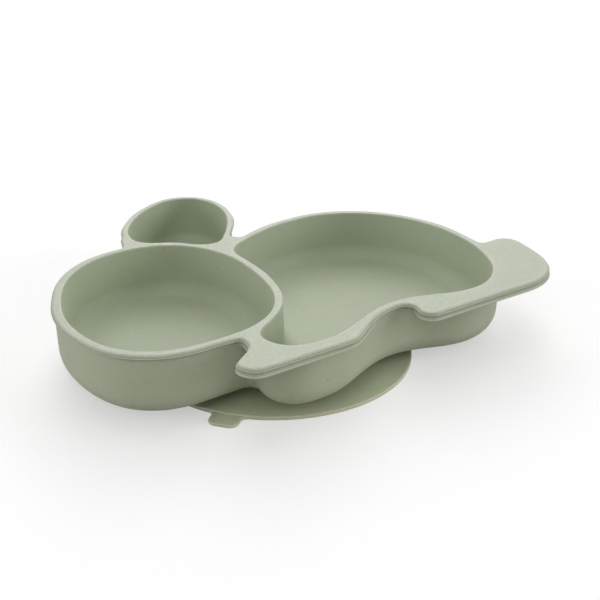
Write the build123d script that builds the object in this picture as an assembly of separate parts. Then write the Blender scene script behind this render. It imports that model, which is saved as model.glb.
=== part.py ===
from build123d import *
import os

# Three-compartment silicone feeding plate that turns on a round suction disc.
# Frame: origin at the centre of the suction disc on the surface it stands on, +Z up,
# +X along the straight sole edge from the front paw to the rear foot, +Y towards the ear.

# ---- driving dimensions, millimetres ----
tray_top = 35.7            # height of the flat rim above the surface
tray_bottom = 6.4          # underside of the tray's floor
floor_thickness = 3.0
wall_thickness = 3.0
rim_land = 3.3             # flat top of the rim, measured outwards from a compartment's edge
wall_draft = 2.0           # degrees that each compartment narrows by, going down
floor_fillet = 8.0         # inside corner between wall and floor
ear_floor_fillet = 5.5
edge_rounding = 0.6        # compartment's top edge
base_fillet = 10.5         # outside corner between wall and underside

rim_thickness = 1.6        # thin flange round the compartments
pad_thickness = 4.0        # thick flange at the front paw, and at the rear foot and tail
top_layer = 1.2            # part of the flange above the mould's parting step
top_layer_reach = 0.6      # how far each layer stands out past the rim line
side_layer_reach = 1.0
lip_reach = 1.3
lip_height = 0.9           # bead along the lower edge of the paw and the foot
rim_rounding = 1.0

disc_radius = 64.0
disc_edge = 1.8            # thickness of the disc at its edge
disc_chamfer = 0.5         # on both corners of that edge
disc_middle = 2.4          # height of its flat middle
disc_flat_radius = 20.0
hollow_radius = 55.0       # shallow hollow that makes the suction
hollow_depth = 0.8
plug_neck_radius = 12.0
plug_head_radius = 13.1
plug_neck_top = 4.1
plug_top = 6.5
plug_chamfer = 1.2
running_clearance = 0.08
free_clearance = 0.3
socket_wall_radius = 17.0
socket_lip_top = 3.8
socket_ceiling = 6.9
socket_overlap = 1.0       # how far the socket's wall goes up into the tray's floor

tab_angle = -141.8         # degrees round the disc
tab_width = 13.4
tab_end = 72.3             # distance of the tab's tip from the disc's centre
tab_thickness = 1.3
tab_lift = 0.1             # underside of the tab above the surface
tab_corner = 4.0
tab_root_start = 61.0      # short root that stays with the disc
tab_root_end = 66.4
tab_hinge = 67.35          # fold line

# Corners of each outline as (x, y, radius): straight runs joined by tangent arcs.
head_outline = [
    (-88.5, -37, 32), (-23.5, -37, 41), (-5, -5, 61), (1.5, 44.5, 56),
    (-18.5, 79, 33.5), (-57.5, 77.5, 42.5), (-80.5, 58, 58), (-98.5, 15, 71),
]
body_outline = [
    (-36, -62, 14.5), (-9, -61.5, 22), (32, -44.5, 44.5), (74, -64.5, 35),
    (100, -41, 30), (112.4, -15.8, 39), (119.2, 27, 65), (89, 74.3, 48),
    (40, 68.6, 68), (3, 51, 19), (2.5, 16.5, 54), (-8, -25.5, 50),
    (-37.5, -41, 10),
]
ear_outline = [
    (-31.5, 84.6, 12), (-13.5, 75, 18.5), (1, 56, 9.3), (29, 94.2, 69),
    (36.6, 121.2, 39.5), (28.8, 154.3, 16.7), (-8.3, 130.8, 49), (-28.2, 106, 46),
]
# Wide, thick parts of the flange, up to the rim line.
paw_outline = [
    (-42, -35, 3), (-44, -50.5, 8), (-56.5, -59.5, 2.8), (-55, -67.8, 6.5),
    (-6.5, -67.8, 10), (18, -52, 3), (10, -40, 3),
]
foot_outline = [
    (40, -44, 2), (33, -63.5, 3), (35.5, -67.8, 4), (114, -67.8, 35),
    (127, -47.6, 28), (137.1, -16.6, 7.2), (105, -18.6, 2),
]
# Land between the three compartments, and in the corner between ear and head.
web_outline = [(-8, 40, 2), (19.9, 60.8, 1.5), (12.7, 69.1, 1.5), (-12, 66, 2)]
cheek_outline = [(-34, 98, 1), (-40.5, 79, 0.5), (-27, 79, 1), (-25, 90, 1)]

# Inside corners to round, as (x, y, radius): head to paw, paw to belly, belly to rear foot,
# tail to back, back to ear and ear to head.
rim_notches = [
    (-42.7, -40, 3.5), (9.8, -57.3, 8), (37, -52.5, 5.5), (115.6, -18.3, 3),
    (18.6, 62.3, 2.5), (15.5, 66, 2.5), (-39.8, 82, 4),
]


def outline_face(corners):
    """Flat face bounded by straight runs and tangent arcs."""
    points = [(x, y) for x, y, radius in corners]
    radii = [radius for x, y, radius in corners]
    return make_face(FilletPolyline(*points, radius=radii, close=True))


def grown(face, amount):
    """The same outline moved outwards by an amount."""
    return offset(face, amount, kind=Kind.ARC, min_edge_length=0.05)


def raised(face, bottom, height):
    """The face extruded upwards from a given level."""
    return extrude(Pos(0, 0, bottom) * face, height)


def outer_edges(solid, top):
    """Edges round the solid's top or bottom face."""
    flat_faces = solid.faces().sort_by(Axis.Z)
    return flat_faces[-1 if top else 0].outer_wire().edges()


def upright_near(solid, x, y):
    """The vertical edge nearest a point in plan."""
    uprights = solid.edges().filter_by(Axis.Z)
    return min(uprights, key=lambda edge: ((edge @ 0).X - x) ** 2 + ((edge @ 0).Y - y) ** 2)


head = outline_face(head_outline)
body = outline_face(body_outline)
ear = outline_face(ear_outline)
paw = outline_face(paw_outline)
foot = outline_face(foot_outline)
web = outline_face(web_outline)
cheek = outline_face(cheek_outline)


def make_pads(reach, height):
    """One layer of the paw and the foot, up from their underside."""
    plan = grown(paw, reach) + grown(foot, reach)
    return raised(plan, tray_top - pad_thickness, height)


def make_rim_layer(reach, height):
    """One layer of the thin flange, standing out past the rim line by a reach."""
    plan = web + grown(cheek, reach) + grown(paw, reach) + grown(foot, reach)
    for compartment in (head, body, ear):
        plan += grown(compartment, rim_land + reach)
    layer = raised(plan, tray_top - rim_thickness, height)
    for x, y, radius in rim_notches:
        layer = fillet(upright_near(layer, x, y), radius - reach)
    return layer


def make_flange():
    """Flat thin rim with a parting step, thick at the paw and the foot, down to a bead."""
    upper = make_rim_layer(top_layer_reach, rim_thickness)
    upper = fillet(outer_edges(upper, top=True), rim_rounding)
    ledge = make_rim_layer(side_layer_reach, rim_thickness - top_layer)
    pads = make_pads(side_layer_reach, pad_thickness - top_layer)
    bead = make_pads(lip_reach, lip_height)
    return upper + ledge + pads + bead


def make_bowls():
    """Outsides of the three compartments, each rounded into its underside."""
    height = tray_top - rim_thickness / 2 - tray_bottom
    bowls = raised(web, tray_bottom + base_fillet, height - base_fillet)
    for compartment in (head, body, ear):
        bowl = raised(grown(compartment, wall_thickness), tray_bottom, height)
        bowls += fillet(outer_edges(bowl, top=False), base_fillet)
    return bowls


def make_cavity(face, corner):
    """Space inside one compartment: drafted walls and a rounded floor corner."""
    depth = tray_top - tray_bottom - floor_thickness
    space = extrude(Pos(0, 0, tray_top) * face, -depth, taper=wall_draft)
    return fillet(outer_edges(space, top=False), corner)


def make_tray():
    tray = make_flange() + make_bowls()
    tray -= make_cavity(head, floor_fillet)
    tray -= make_cavity(body, floor_fillet)
    tray -= make_cavity(ear, ear_floor_fillet)
    mouths = tray.faces().sort_by(Axis.Z)[-1].inner_wires()
    tray = fillet([edge for mouth in mouths for edge in mouth.edges()], edge_rounding)
    tray += raised(Circle(socket_wall_radius), disc_middle,
                   tray_bottom + socket_overlap - disc_middle)
    tray -= raised(Circle(plug_neck_radius + running_clearance), disc_middle,
                   socket_lip_top - disc_middle)
    tray -= raised(Circle(plug_head_radius + free_clearance), socket_lip_top,
                   socket_ceiling - socket_lip_top)
    return tray


def make_suction_disc():
    """Thin disc, hollow underneath, with a round headed plug and a short root for the tab."""
    section = Polyline(
        (0, hollow_depth),
        (disc_flat_radius, hollow_depth),
        (hollow_radius, 0),
        (disc_radius - disc_chamfer, 0),
        (disc_radius, disc_chamfer),
        (disc_radius, disc_edge - disc_chamfer),
        (disc_radius - disc_chamfer, disc_edge),
        (disc_flat_radius, disc_middle),
        (plug_neck_radius, disc_middle),
        (plug_neck_radius, plug_neck_top),
        (plug_head_radius, plug_neck_top),
        (plug_head_radius, plug_top - plug_chamfer),
        (plug_head_radius - plug_chamfer, plug_top),
        (0, plug_top),
        close=True,
    )
    disc = revolve(make_face(Plane.XZ * section), Axis.Z)
    return disc + make_tab_root()


def make_tab_root():
    """Short flat plate at the disc's edge that carries the tab."""
    middle = (tab_root_start + tab_root_end) / 2
    plate = Box(tab_root_end - tab_root_start, tab_width, tab_thickness)
    return Rot(0, 0, tab_angle) * Pos(middle, 0, tab_lift + tab_thickness / 2) * plate


def make_release_tab():
    """Finger tab beyond the fold line, with a round root that turns in the gap."""
    plan = Pos((tab_hinge + tab_end) / 2, 0) * Rectangle(tab_end - tab_hinge, tab_width)
    tips = plan.vertices().group_by(Axis.X)[-1]
    plan = fillet(tips, tab_corner)
    tab = raised(plan, tab_lift, tab_thickness)
    knuckle = Pos(tab_hinge, 0, tab_lift + tab_thickness / 2) * Rot(90, 0, 0)
    tab += knuckle * Cylinder(tab_thickness / 2, tab_width)
    return Rot(0, 0, tab_angle) * tab


os.makedirs("parts", exist_ok=True)
for name, make in (
    ("tray", make_tray), ("suction_disc", make_suction_disc), ("release_tab", make_release_tab),
):
    solid = make()
    print(name, "solids:", len(solid.solids()), "volume:", round(solid.volume))
    export_step(solid, f"parts/{name}.step")
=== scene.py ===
import math
import bmesh
import bpy
import numpy as np
from mathutils import Matrix, Vector
from mathutils.geometry import delaunay_2d_cdt


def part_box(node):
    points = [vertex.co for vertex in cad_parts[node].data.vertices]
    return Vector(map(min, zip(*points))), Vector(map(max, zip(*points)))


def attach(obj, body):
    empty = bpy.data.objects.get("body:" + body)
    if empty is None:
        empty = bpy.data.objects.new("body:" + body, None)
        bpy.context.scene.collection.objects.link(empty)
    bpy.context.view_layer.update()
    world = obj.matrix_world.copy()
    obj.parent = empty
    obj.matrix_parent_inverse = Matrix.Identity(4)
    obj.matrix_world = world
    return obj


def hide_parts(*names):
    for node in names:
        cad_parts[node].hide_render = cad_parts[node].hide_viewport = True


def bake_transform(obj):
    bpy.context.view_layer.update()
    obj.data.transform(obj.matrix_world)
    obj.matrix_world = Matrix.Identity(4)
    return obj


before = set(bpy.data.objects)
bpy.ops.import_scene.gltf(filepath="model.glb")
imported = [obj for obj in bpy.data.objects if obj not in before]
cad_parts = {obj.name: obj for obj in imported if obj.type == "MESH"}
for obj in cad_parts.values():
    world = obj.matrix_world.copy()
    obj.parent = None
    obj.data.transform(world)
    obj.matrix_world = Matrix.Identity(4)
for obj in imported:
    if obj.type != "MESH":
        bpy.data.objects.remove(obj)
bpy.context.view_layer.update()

# Silicone feeding plate on a suction disc. The tray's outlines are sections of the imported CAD,
# evened out, and then swept through the profile that a mould would leave. The socket, the disc
# and the tab are drawn from sizes of their own.

mm = 0.001
rim_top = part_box("tray")[1].z
underside = 6.4 * mm                 # of the tray's floor
cup_floor = underside + 3 * mm

# Levels at which the tray's outlines are taken.
rim_level = rim_top - 1.1 * mm       # the flange's upper layer and the mouths of the compartments
pad_level = rim_top - 2.5 * mm       # the walls with the thick paw and foot
wall_level = rim_top - 15 * mm       # the walls alone

# Spacing of the points along an outline, while it is evened out and in the finished mesh.
even_spacing = 0.6 * mm
mesh_spacing = 0.85 * mm


# ---- outlines: smooth closed loops, kept as complex numbers x + iy ----

def section(node, level):
    """Closed loops in which a horizontal plane cuts a CAD node, the longest first."""
    bm = bmesh.new()
    bm.from_mesh(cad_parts[node].data)
    bmesh.ops.remove_doubles(bm, verts=bm.verts, dist=0.002 * mm)
    everything = bm.verts[:] + bm.edges[:] + bm.faces[:]
    cut = bmesh.ops.bisect_plane(bm, geom=everything, plane_co=(0, 0, level), plane_no=(0, 0, 1))
    beside = {}
    for edge in cut["geom_cut"]:
        if isinstance(edge, bmesh.types.BMEdge):
            a, b = edge.verts
            beside.setdefault(a, []).append(b)
            beside.setdefault(b, []).append(a)
    loops = []
    while beside:
        vert = next(iter(beside))
        loop = []
        while vert is not None:
            loop.append(complex(vert.co.x, vert.co.y))
            onward = [v for v in beside.pop(vert) if v in beside]
            vert = onward[0] if onward else None
        loops.append(np.array(loop))
    bm.free()
    return sorted(loops, key=lambda loop: -length(loop))


def length(loop):
    """Distance once round a loop."""
    return np.abs(np.roll(loop, -1) - loop).sum()


def resampled(loop, spacing):
    """Evenly spaced points along a loop, anticlockwise."""
    area = (loop.conj() * np.roll(loop, -1)).imag.sum()
    loop = loop if area > 0 else loop[::-1]
    closed = np.append(loop, loop[0])
    along = np.append(0, np.cumsum(np.abs(np.diff(closed))))
    places = np.linspace(0, along[-1], round(along[-1] / spacing), endpoint=False)
    return np.interp(places, along, closed.real) + 1j * np.interp(places, along, closed.imag)


def low_pass(values, spacing, reach):
    """Evenly spaced values evened out over a reach, with hardly any shrinking."""
    keep = np.exp(-2 * (np.pi * np.fft.fftfreq(len(values), spacing) * reach) ** 2)
    return np.fft.ifft(np.fft.fft(values) * (2 * keep - keep ** 2))


def smoothed(loop, reaches, spacing=even_spacing, final_spacing=mesh_spacing):
    """The loop evened out over the first reach, and over shorter and shorter ones at its corners."""
    bend_reach = 2.5 * mm            # evens out the loop on which the bend is measured
    sharpness = 0.35                 # radians over a reach, above which a bend is a corner
    gain, threshold = 3, 0.2         # turn the evened-out corners into shares from 0 to 1
    loop = resampled(loop, spacing)
    even = low_pass(loop, spacing, bend_reach)
    way = np.roll(even, -1) - np.roll(even, 1)
    bend = np.abs(np.angle(np.roll(way, -1) / np.roll(way, 1))) / (2 * spacing)
    result = low_pass(loop, spacing, reaches[0])
    for longer, shorter in zip(reaches, reaches[1:]):
        corner = low_pass((bend > sharpness / longer).astype(float), spacing, longer).real
        corner = np.clip(gain * corner - threshold, 0, 1)
        result += (low_pass(loop, spacing, shorter) - result) * corner
    return resampled(result, final_spacing)


def outward(loop):
    """Unit normals that point out of an anticlockwise loop."""
    ahead = np.roll(loop, -1) - np.roll(loop, 1)
    return -1j * ahead / np.abs(ahead)


def circle(radius, count):
    """Evenly spaced points round the origin."""
    return radius * np.exp(2j * np.pi * np.arange(count) / count)


def turning_loop(count):
    """A loop so small that a profile swept along it is turned about the Z axis."""
    return circle(0.001 * mm, count)


def inside(points, loop):
    """Which of the points lie inside a loop."""
    rays = loop[None, :] - points[:, None]
    return np.abs(np.angle(np.roll(rays, -1, axis=1) / rays).sum(1)) > math.pi


def distance_outside(point, loop):
    """How far a point is outside a loop, negative inside it."""
    distance = np.abs(loop - point).min()
    return -distance if inside(np.array([point]), loop)[0] else distance


def grid_between(loops, pitch):
    """Points of a square grid that lie well inside the first loop and well outside the others."""
    clearance = 0.6 * pitch
    outer = loops[0]
    xs = np.arange(outer.real.min(), outer.real.max(), pitch)
    ys = np.arange(outer.imag.min(), outer.imag.max(), pitch)
    grid = (xs[:, None] + 1j * ys).ravel()
    grid = grid[inside(grid, outer)]
    for loop in loops[1:]:
        grid = grid[~inside(grid, loop)]
    for loop in loops:
        grid = grid[np.abs(loop[None, :] - grid[:, None]).min(1) > clearance]
    return [Vector((p.real, p.imag)) for p in grid]


# ---- meshes: rings of points, the strips between them and flat fills ----

inside_edges = 1             # the triangulation's output type that keeps what the edges enclose
same_point = 1e-9


class Shell:
    """Points and faces of one piece, with the painted light at its points."""

    def __init__(self):
        self.points = []
        self.faces = []
        self.painted_light = {}       # at a point: from 1, a painted highlight that makes an edge paler, to -1, painted shade that makes a crease darker

    def ring(self, loop, reach, level, painted_light=0.0):
        """A loop moved outwards by a reach, at a level."""
        plan = loop + outward(loop) * reach
        first = len(self.points)
        self.points += [(p.real, p.imag, level) for p in plan]
        ring = list(range(first, len(self.points)))
        self.painted_light.update(dict.fromkeys(ring, painted_light))
        return ring

    def sweep(self, loop, profile):
        """Strips through the rings (reach, level, painted light) of a profile; gives the first and last
        ring.
        """
        rings = [self.ring(loop, *step) for step in profile]
        for near, far in zip(rings, rings[1:]):
            for i in range(len(near)):
                self.faces.append((near[i - 1], near[i], far[i], far[i - 1]))
        return rings[0], rings[-1]

    def fill(self, *rings, grid=0.0, painted_light=0.0):
        """A flat face bounded by rings, with the inner ones as holes, and its painted light between
        them.
        """
        known = [index for ring in rings for index in ring]
        level = self.points[known[0]][2]
        plan = [Vector(self.points[index][:2]) for index in known]
        edges = []
        for ring in rings:
            start, count = len(edges), len(ring)
            edges += [(start + i, start + (i + 1) % count) for i in range(count)]
        if grid:
            plan += grid_between([self.plan_of(ring) for ring in rings], grid)
        result = delaunay_2d_cdt(plan, edges, [], inside_edges, same_point)
        points, faces, origins = result[0], result[2], result[3]
        place = []
        for co, origin in zip(points, origins):
            if origin and origin[0] < len(known):
                place.append(known[origin[0]])
            else:
                place.append(len(self.points))
                self.painted_light[len(self.points)] = painted_light
                self.points.append((co.x, co.y, level))
        faces = [tuple(place[i] for i in face) for face in faces]
        corners = np.array(self.points)[np.array(faces)]
        centres = corners[..., 0].mean(1) + 1j * corners[..., 1].mean(1)
        in_hole = np.zeros(len(centres), bool)
        for ring in rings[1:]:
            in_hole |= inside(centres, self.plan_of(ring))
        self.faces += [face for face, hole in zip(faces, in_hole) if not hole]

    def plan_of(self, ring):
        """The ring's points seen from above, as complex numbers."""
        return np.array([complex(*self.points[index][:2]) for index in ring])

    def finished(self, name, material):
        """The piece as a smooth-shaded object, with its painted light, painted highlight and painted
        shade, as an attribute of its points.
        """
        mesh = bpy.data.meshes.new(name)
        mesh.from_pydata(self.points, [], self.faces)
        painted_light = mesh.attributes.new("painted_light", "FLOAT", "POINT")
        painted_light.data.foreach_set("value", [self.painted_light.get(i, 0.0) for i in range(len(self.points))])
        bm = bmesh.new()
        bm.from_mesh(mesh)
        loose = [v for v in bm.verts if not v.link_faces]
        bmesh.ops.delete(bm, geom=loose, context="VERTS")
        bmesh.ops.recalc_face_normals(bm, faces=bm.faces)
        bm.to_mesh(mesh)
        bm.free()
        mesh.polygons.foreach_set("use_smooth", [True] * len(mesh.polygons))
        mesh.materials.append(material)
        piece = bpy.data.objects.new(name, mesh)
        bpy.context.scene.collection.objects.link(piece)
        return piece


def arc(reach, level, radius, start, end, steps, painted_light=0.0):
    """Steps of a round corner in a profile, about a centre, angles in degrees."""
    angles = np.radians(np.linspace(start, end, steps))
    return [(reach + radius * math.cos(a), level + radius * math.sin(a), painted_light) for a in angles]


def in_metres(rows):
    """Steps of a profile from rows of (reach, level) in millimetres."""
    return [(reach * mm, level * mm) for reach, level in rows]


def down(depth):
    """The level at a depth in millimetres below the rim."""
    return rim_top - depth * mm


# ---- materials ----

class Nodes:
    """Short way to add and join shader nodes."""

    def __init__(self, tree):
        self.tree = tree
        tree.nodes.clear()

    def add(self, kind, inputs=None, **settings):
        """A node with its settings; each input is a value or another node's output."""
        node = self.tree.nodes.new(kind)
        for key, value in settings.items():
            setattr(node, key, value)
        for key, value in (inputs or {}).items():
            if isinstance(value, bpy.types.NodeSocket):
                self.tree.links.new(value, node.inputs[key])
            else:
                node.inputs[key].default_value = value
        return node

    def noise(self, place, scale, detail, roughness=0.5):
        """Noise from about 0 to 1."""
        inputs = {"Vector": place, "Scale": scale, "Detail": detail, "Roughness": roughness}
        return self.add("ShaderNodeTexNoise", inputs).outputs["Fac"]

    def mapped(self, value, low, high, at_low, at_high):
        """A value moved from the range low to high to another range, and kept within it."""
        inputs = {"Value": value, "From Min": low, "From Max": high,
                  "To Min": at_low, "To Max": at_high}
        return self.add("ShaderNodeMapRange", inputs).outputs["Result"]

    def product(self, first, second, use_clamp=False):
        """Two values multiplied."""
        node = self.add("ShaderNodeMath", {0: first, 1: second}, operation="MULTIPLY",
                        use_clamp=use_clamp)
        return node.outputs["Value"]

    def mix(self, share, first, second):
        """The first colour with a share of the second."""
        node = self.add("ShaderNodeMix", {0: share, 6: first, 7: second}, data_type="RGBA")
        return node.outputs[2]


def silicone(name, colour, deep, pale, shade_and_speck, roughness):
    """Matte moulded silicone: clouds, mottling, painted highlights on edges, painted shade in creases,
    dust specks and grain.
    """
    mottling = 0.03              # how much the fine mottling lightens and darkens the colour
    roughness_swing = 0.06
    painted_shade_strength = 0.6
    material = bpy.data.materials.new(name)
    material.use_nodes = True
    n = Nodes(material.node_tree)
    place = n.add("ShaderNodeTexCoord").outputs["Object"]

    clouds = n.noise(place, 60, 7, 0.75)
    tint = n.mix(clouds, (*deep, 1), (*colour, 1))
    # Painted light from the points' attribute: above 0 the pale colour is mixed in, a painted highlight
    # on edges and painted sheen on the rim's top; below 0 the dark colour is mixed in, painted shade in
    # creases and under overhangs.
    painted_light = n.add("ShaderNodeAttribute", attribute_name="painted_light").outputs["Fac"]
    frost = n.noise(place, 1000, 2)
    highlight_share = n.product(painted_light, n.mapped(frost, 0.3, 0.7, 0.4, 1.6), use_clamp=True)
    with_highlight = n.mix(highlight_share, tint, (*pale, 1))
    with_shade = n.mix(n.product(painted_light, -painted_shade_strength), with_highlight, (*shade_and_speck, 1))

    # Dust specks: a dot in the middle of some of the cells.
    cells = n.add("ShaderNodeTexVoronoi", {"Vector": place, "Scale": 280}, feature="F1")
    dots = n.mapped(cells.outputs["Distance"], 0.08, 0.17, 1.0, 0.0)
    chance = n.add("ShaderNodeSeparateColor", {"Color": cells.outputs["Color"]}).outputs["Red"]
    few = n.mapped(chance, 0.78, 1.0, 0.0, 0.5)
    specked = n.mix(n.product(dots, few), with_shade, (*shade_and_speck, 1))

    shade = n.mapped(frost, 0.3, 0.7, 1 - mottling, 1 + mottling)
    mottled = n.add("ShaderNodeHueSaturation", {"Color": specked, "Value": shade})

    patches = n.noise(place, 160, 5, 0.65)
    rough = n.mapped(patches, 0.3, 0.7, roughness - roughness_swing, roughness + roughness_swing)
    grain = n.noise(place, 2600, 3)
    swell = n.noise(place, 90, 2)
    fine = n.add("ShaderNodeBump", {"Height": grain, "Strength": 0.12, "Distance": 0.05 * mm})
    bump = n.add("ShaderNodeBump", {"Height": swell, "Strength": 0.10, "Distance": 0.25 * mm,
                                    "Normal": fine.outputs["Normal"]})
    shader = n.add("ShaderNodeBsdfPrincipled", {
        "Base Color": mottled.outputs["Color"], "Roughness": rough,
        "Normal": bump.outputs["Normal"], "Specular IOR Level": 0.45, "IOR": 1.42,
        "Sheen Weight": 0.12, "Sheen Roughness": 0.5,
        "Subsurface Weight": 0.12, "Subsurface Scale": 1.0 * mm,
    })
    n.add("ShaderNodeOutputMaterial", {"Surface": shader.outputs["BSDF"]})
    return material


# ---- the tray ----

# For each compartment, from the longest mouth to the shortest, which are the body's, the head's
# and the ear's: how far the finished mouth lies outside the CAD's section, and the round corner
# at the floor.
mouth_shifts = (-0.3 * mm, -0.1 * mm, 0.4 * mm)
floor_corners = (8 * mm, 8 * mm, 5.5 * mm)
mouth_rounding = 0.6 * mm
base_rounding = 10.5 * mm            # outside corner between the walls and the underside
wall_draft = math.tan(math.radians(2))

# Socket for the disc's plug, from the underside to its ceiling: (radius, level) in millimetres.
socket_profile = (
    (17.8, 6.4), (17.3, 6.2), (17.0, 5.6), (17.0, 2.9), (16.5, 2.4), (12.5, 2.4),
    (12.08, 2.8), (12.08, 3.8), (13.4, 3.8), (13.4, 6.9),
)

# Side of the thick paw and foot, from the top down: (reach, depth) in millimetres, and painted light:
# painted highlight on the ledge and bead, painted shade in the groove and under the bead.
pad_side = (
    (-0.5, 1.1, 0.0), (-0.1, 1.22, 0.9), (-0.02, 1.25, 1.0), (0.02, 1.35, 0.8),    # ledge
    (0.02, 1.5, -0.6), (-0.08, 1.8, -0.9), (-0.08, 2.1, -0.7), (0.0, 2.5, -0.2),   # groove
    (0.04, 2.9, -0.3), (0.1, 3.0, -0.3), (0.22, 3.12, 0.8), (0.28, 3.3, 1.0),      # bead
    (0.3, 3.5, 0.8), (0.26, 3.75, 0.2), (0.14, 3.92, 0.0), (-0.05, 4.0, -0.3),
    (-0.5, 4.0, -0.3),
)


def make_tray(material):
    """The tray, from its rim, its three mouths, its walls and the thick paw and foot."""
    rim, *mouths = section("tray", rim_level)[:4]
    rim = smoothed(rim, [6 * mm, 2.5 * mm, 1 * mm])
    mouths = [smoothed(mouth, [10 * mm, 5 * mm]) for mouth in mouths]
    pads = smoothed(section("tray", pad_level)[0], [4 * mm, 2 * mm, 1 * mm])
    wall = smoothed(section("tray", wall_level)[0], [10 * mm, 5 * mm])
    shell = Shell()
    make_body(shell, rim, mouths, wall)
    make_pads(shell, pads, mouths, wall)
    return shell.finished("tray_shell", material)


def make_body(shell, rim, mouths, wall):
    """Thin rim, outer walls, compartments and the socket under them, as one closed skin."""
    # Rim: rounded top edge, parting ledge and a short side.
    # Painted light along the rim: the top and its rounded edge paler, partly a powdery top and partly
    # painted sheen; painted shade in the crease above the ledge; a painted highlight on the ledge.
    edge = [(-1.3 * mm, rim_top, 0.7)]
    edge += arc(-1.0 * mm, down(1.0), 1.0 * mm, 90, 25, 6, painted_light=0.6)
    edge += arc(-1.0 * mm, down(1.0), 1.0 * mm, 10, 0, 2, painted_light=-0.3)
    edge += arc(0.08 * mm, down(1.12), 0.08 * mm, 180, 270, 3, painted_light=-0.4)
    edge += arc(0.3 * mm, down(1.32), 0.12 * mm, 90, 0, 5, painted_light=1.0)
    edge += arc(0.3 * mm, down(1.48), 0.12 * mm, 0, -90, 4)
    rim_start, rim_end = shell.sweep(rim, edge)

    # Outer walls: small corner under the rim, straight down, round into the underside.
    base = base_rounding
    # Painted shadow under the rim's overhang, at the top of the outer walls.
    side = [(0.5 * mm, down(1.6), -1.0)]
    side += arc(0.4 * mm, down(2.0), 0.4 * mm, 90, 180, 5, painted_light=-0.8)
    side += [(0, down(3) + (underside + base - down(3)) * t) for t in (0.0, 0.3, 0.6, 0.85)]
    side += arc(-base, underside + base, base, 0, -90, 14)
    side += [(-base - 0.4 * mm, underside)]
    wall_start, wall_end = shell.sweep(wall, side)
    shell.fill(rim_end, wall_start)

    # Compartments, then the flat top of the rim around their mouths.
    holes = [make_cup(shell, *cup) for cup in zip(mouths, mouth_shifts, floor_corners)]
    # The rim's top is paler: partly its powdery finish, partly painted sheen.
    shell.fill(rim_start, *holes, grid=3 * mm, painted_light=0.4)

    socket_start, socket_end = shell.sweep(turning_loop(256), in_metres(socket_profile))
    shell.fill(wall_end, socket_start)
    shell.fill(socket_end)


def make_cup(shell, mouth, shift, corner):
    """Compartment: rounded mouth, drafted wall, round into the floor. Gives the mouth's ring."""
    straight = rim_level - cup_floor - corner
    foot = shift - wall_draft * straight - corner
    lip = mouth_rounding
    # A painted highlight on the mouth's rounded edge; the rim's top beside it paler, partly powdery
    # finish and partly painted sheen.
    cup = [(shift + lip + 0.2 * mm, rim_top, 0.7)]
    cup += arc(shift + lip, rim_top - lip, lip, 90, 180, 6, painted_light=1.0)
    cup += [(shift - wall_draft * straight * t, rim_level - straight * t)
            for t in (0.0, 0.25, 0.5, 0.75)]
    cup += arc(foot, cup_floor + corner, corner, 0, -90, 14)
    cup += [(foot - 0.5 * mm, cup_floor)]
    top, bottom = shell.sweep(mouth, cup)
    shell.fill(bottom, grid=6 * mm)
    return top


def make_pads(shell, pads, mouths, wall):
    """Thick layer under the rim at the paw and the foot; elsewhere it hides inside the walls."""
    away = np.array([distance_outside(p, wall) for p in pads])
    proud = np.clip((away - 0.2 * mm) / (0.8 * mm), 0, 1)
    proud = proud * proud * (3 - 2 * proud)
    hidden = -0.35 * mm * (1 - proud)
    profile = [(hidden + reach * mm * proud, down(depth), painted_light) for reach, depth, painted_light in pad_side]
    top, bottom = shell.sweep(pads, profile)
    inner = [shell.sweep(mouth, [(1.4 * mm, down(1.1)), (1.4 * mm, down(4.0))]) for mouth in mouths]
    shell.fill(top, *(ring for ring, _ in inner))
    shell.fill(bottom, *(ring for _, ring in inner))


# ---- the suction disc and its tab ----

# (radius, level) in millimetres, from the middle out under the disc, and back in over its top
# and up the plug that turns in the tray's socket.
disc_underside = ((20, 0.8), (38, 0.4), (54, 0.02), (57, 0.0), (61, 0.0))
disc_top = (
    (63.0, 1.81), (62.0, 1.83), (50.0, 2.0), (35.0, 2.2), (20.0, 2.4),
    (12.6, 2.4), (12.0, 2.7), (12.0, 4.1), (13.1, 4.1), (13.1, 5.3),
)

# The tab lies along +X here and is then turned to its place round the disc; in millimetres.
tab_angle = math.radians(-141.8)
tab_start, disc_edge, tab_tip = 61.5, 63.7, 72.3
tab_half_width, tab_corner, tab_flare = 6.6, 3.8, 2.2
tab_bottom, tab_top, tab_rounding = 0.1 * mm, 1.4 * mm, 0.45 * mm


def make_disc(material):
    """Thin disc with a rounded edge, hollow underneath, and its headed plug."""
    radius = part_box("suction_disc")[1].x
    shell = Shell()
    disc = in_metres(disc_underside)
    # A painted highlight on the disc's rounded edge.
    disc += arc(radius - 0.6 * mm, 0.6 * mm, 0.6 * mm, -90, 0, 6, painted_light=1.0)
    disc += arc(radius - 0.5 * mm, 1.3 * mm, 0.5 * mm, 0, 90, 6, painted_light=1.0)
    disc += in_metres(disc_top)
    disc += arc(11.9 * mm, 5.3 * mm, 1.2 * mm, 0, 90, 6)[1:]
    start, end = shell.sweep(turning_loop(360), disc)
    shell.fill(start, grid=4 * mm)
    shell.fill(end, grid=4 * mm)
    return shell.finished("suction_disc_shell", material)


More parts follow.
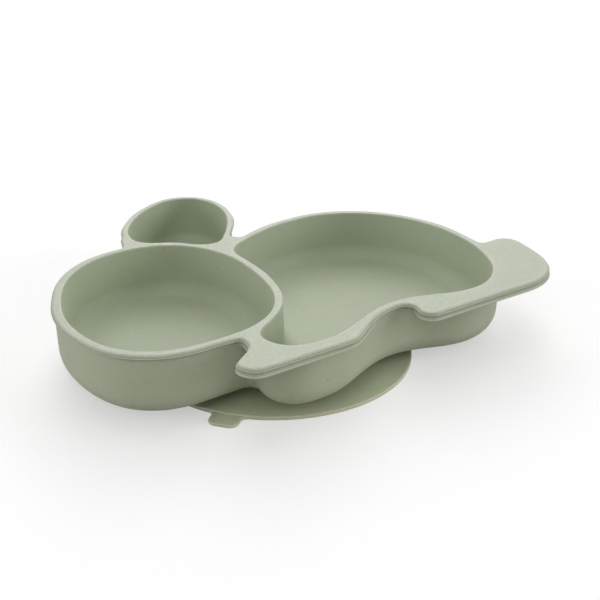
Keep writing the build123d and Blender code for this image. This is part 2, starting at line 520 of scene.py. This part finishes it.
def make_tab(material):
    """The tab, flared where it leaves the disc's edge, and the way that it points."""
    half, corner, flare = tab_half_width, tab_corner, tab_flare
    side = [complex(tab_start, -half - flare)]
    side += [complex(disc_edge + flare - flare * math.cos(a), -half - flare + flare * math.sin(a))
             for a in np.linspace(0, math.pi / 2, 7)]
    side += [complex(tab_tip - corner + corner * math.sin(a), -half + corner - corner * math.cos(a))
             for a in np.linspace(0, math.pi / 2, 9)]
    outline = np.array(side + [p.conjugate() for p in side[::-1]])
    outline = smoothed(outline * mm, [0.5 * mm], 0.25 * mm, 0.25 * mm)
    shell = Shell()
    soft = tab_rounding
    profile = [(-0.8 * mm, tab_bottom)]
    # A painted highlight on the tab's rounded edges.
    profile += arc(-soft, tab_bottom + soft, soft, -90, 0, 5, painted_light=0.7)
    profile += arc(-soft, tab_top - soft, soft, 0, 90, 5, painted_light=0.7)
    profile += [(-0.8 * mm, tab_top)]
    bottom, top = shell.sweep(outline, profile)
    shell.fill(bottom, grid=0.6 * mm)
    shell.fill(top, grid=0.6 * mm)
    tab = shell.finished("release_tab_shell", material)
    tab.data.transform(Matrix.Rotation(tab_angle, 4, "Z"))
    return tab, Vector((math.cos(tab_angle), math.sin(tab_angle), 0))


# The pale colours are those of the painted highlights and sheen; the dark ones those of the painted
# shade and of the dust specks.
tray_silicone = silicone(
    "tray_silicone", colour=(0.449, 0.503, 0.366), deep=(0.425, 0.480, 0.345),
    pale=(0.52, 0.545, 0.448), shade_and_speck=(0.16, 0.17, 0.11), roughness=0.55)
disc_silicone = silicone(
    "disc_silicone", colour=(0.545, 0.600, 0.420), deep=(0.520, 0.576, 0.400),
    pale=(0.64, 0.64, 0.46), shade_and_speck=(0.15, 0.16, 0.1), roughness=0.5)

tray = make_tray(tray_silicone)
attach(tray, "tray")
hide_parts("tray")

disc = make_disc(disc_silicone)
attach(disc, "suction_disc")
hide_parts("suction_disc")

tab, tab_way = make_tab(disc_silicone)
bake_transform(tab)
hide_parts("release_tab")


# ---- stage: a plain pale studio ----

studio_reach, studio_height = 4.0, 3.0
grey, warm_grey, black = (0.6, 0.6, 0.6), (0.625, 0.6, 0.57), (0, 0, 0)
behind = 55.3                        # degrees, from +X to the direction in which the camera looks
sun_spread = 40                      # degrees across, for soft shadows
lights = (
    ("back_low", 0, 20, 0.81), ("back_high", 0, 45, 0.82), ("back_left", -50, 35, 0.30),
    ("back_right", 50, 35, 0.28), ("left_low", -95, 8, 0.92), ("right", 95, 30, 0.26),
    ("right_low", 95, 8, 1.48), ("front_left", -140, 40, 0.25), ("front_left_low", -130, 10, 0.28),
    ("front", 180, 40, 0.53), ("top", 0, 88, 0.58),
)


def plain_surface(name, points, faces, colour, glow, seen):
    """Part of the studio that only the camera sees, or one that only throws light on the object."""
    mesh = bpy.data.meshes.new(name)
    mesh.from_pydata(points, [], faces)
    material = bpy.data.materials.new(name)
    material.use_nodes = True
    shader = material.node_tree.nodes["Principled BSDF"]
    shader.inputs["Base Color"].default_value = (*colour, 1)
    shader.inputs["Emission Color"].default_value = (1, 1, 1, 1)
    shader.inputs["Emission Strength"].default_value = glow
    shader.inputs["Roughness"].default_value = 0.9
    shader.inputs["Specular IOR Level"].default_value = 0.1
    mesh.materials.append(material)
    surface = bpy.data.objects.new(name, mesh)
    surface.visible_camera = seen
    surface.visible_diffuse = not seen
    surface.visible_glossy = not seen
    surface.visible_transmission = not seen
    surface.visible_shadow = not seen
    bpy.context.scene.collection.objects.link(surface)


def make_studio():
    """White floor and round backdrop that the camera sees, and a floor that only throws light back."""
    for name, level, colour, glow, seen in (
        ("floor", 0, grey, 0.46, True), ("floor_bounce", -0.05 * mm, warm_grey, 0, False),
    ):
        corners = [(x * studio_reach, y * studio_reach, level)
                   for x, y in ((-1, -1), (1, -1), (1, 1), (-1, 1))]
        plain_surface(name, corners, [(0, 1, 2, 3)], colour, glow, seen)
    turn = circle(0.98 * studio_reach, 64)
    ring = [(p.real, p.imag, level) for level in (0, studio_height) for p in turn]
    count = len(turn)
    sides = [(i, (i + 1) % count, count + (i + 1) % count, count + i) for i in range(count)]
    plain_surface("backdrop", ring, sides, black, 0.98, True)


def soft_sun(name, turn, height, strength):
    """A soft light: degrees clockwise from straight behind the object, and above the floor."""
    light = bpy.data.lights.new(name, "SUN")
    light.energy = strength
    light.angle = math.radians(sun_spread)
    around = math.radians(behind - turn)
    up = math.radians(height)
    lamp = bpy.data.objects.new(name, light)
    towards = Vector((math.cos(around) * math.cos(up), math.sin(around) * math.cos(up), math.sin(up)))
    lamp.rotation_euler = towards.to_track_quat("Z", "Y").to_euler()
    bpy.context.scene.collection.objects.link(lamp)


make_studio()
for light in lights:
    soft_sun(*light)

world = bpy.data.worlds.new("studio")
world.use_nodes = True
background = world.node_tree.nodes["Background"]
background.inputs["Color"].default_value = (1, 1, 1, 1)
background.inputs["Strength"].default_value = 0.01
bpy.context.scene.world = world
bpy.context.scene.view_settings.view_transform = "Standard"

# ---- camera, at the photograph's angle ----

camera_data = bpy.data.cameras.new("camera")
camera_data.lens = 50
camera_data.sensor_width = 36
camera_data.clip_start = 0.01
camera = bpy.data.objects.new("camera", camera_data)
camera.location = (-0.1941, -0.2998, 0.1823)
view_way = Vector((0.5211, 0.7535, -0.4010))
camera.rotation_euler = view_way.to_track_quat("-Z", "Y").to_euler()
bpy.context.scene.collection.objects.link(camera)
bpy.context.scene.camera = camera
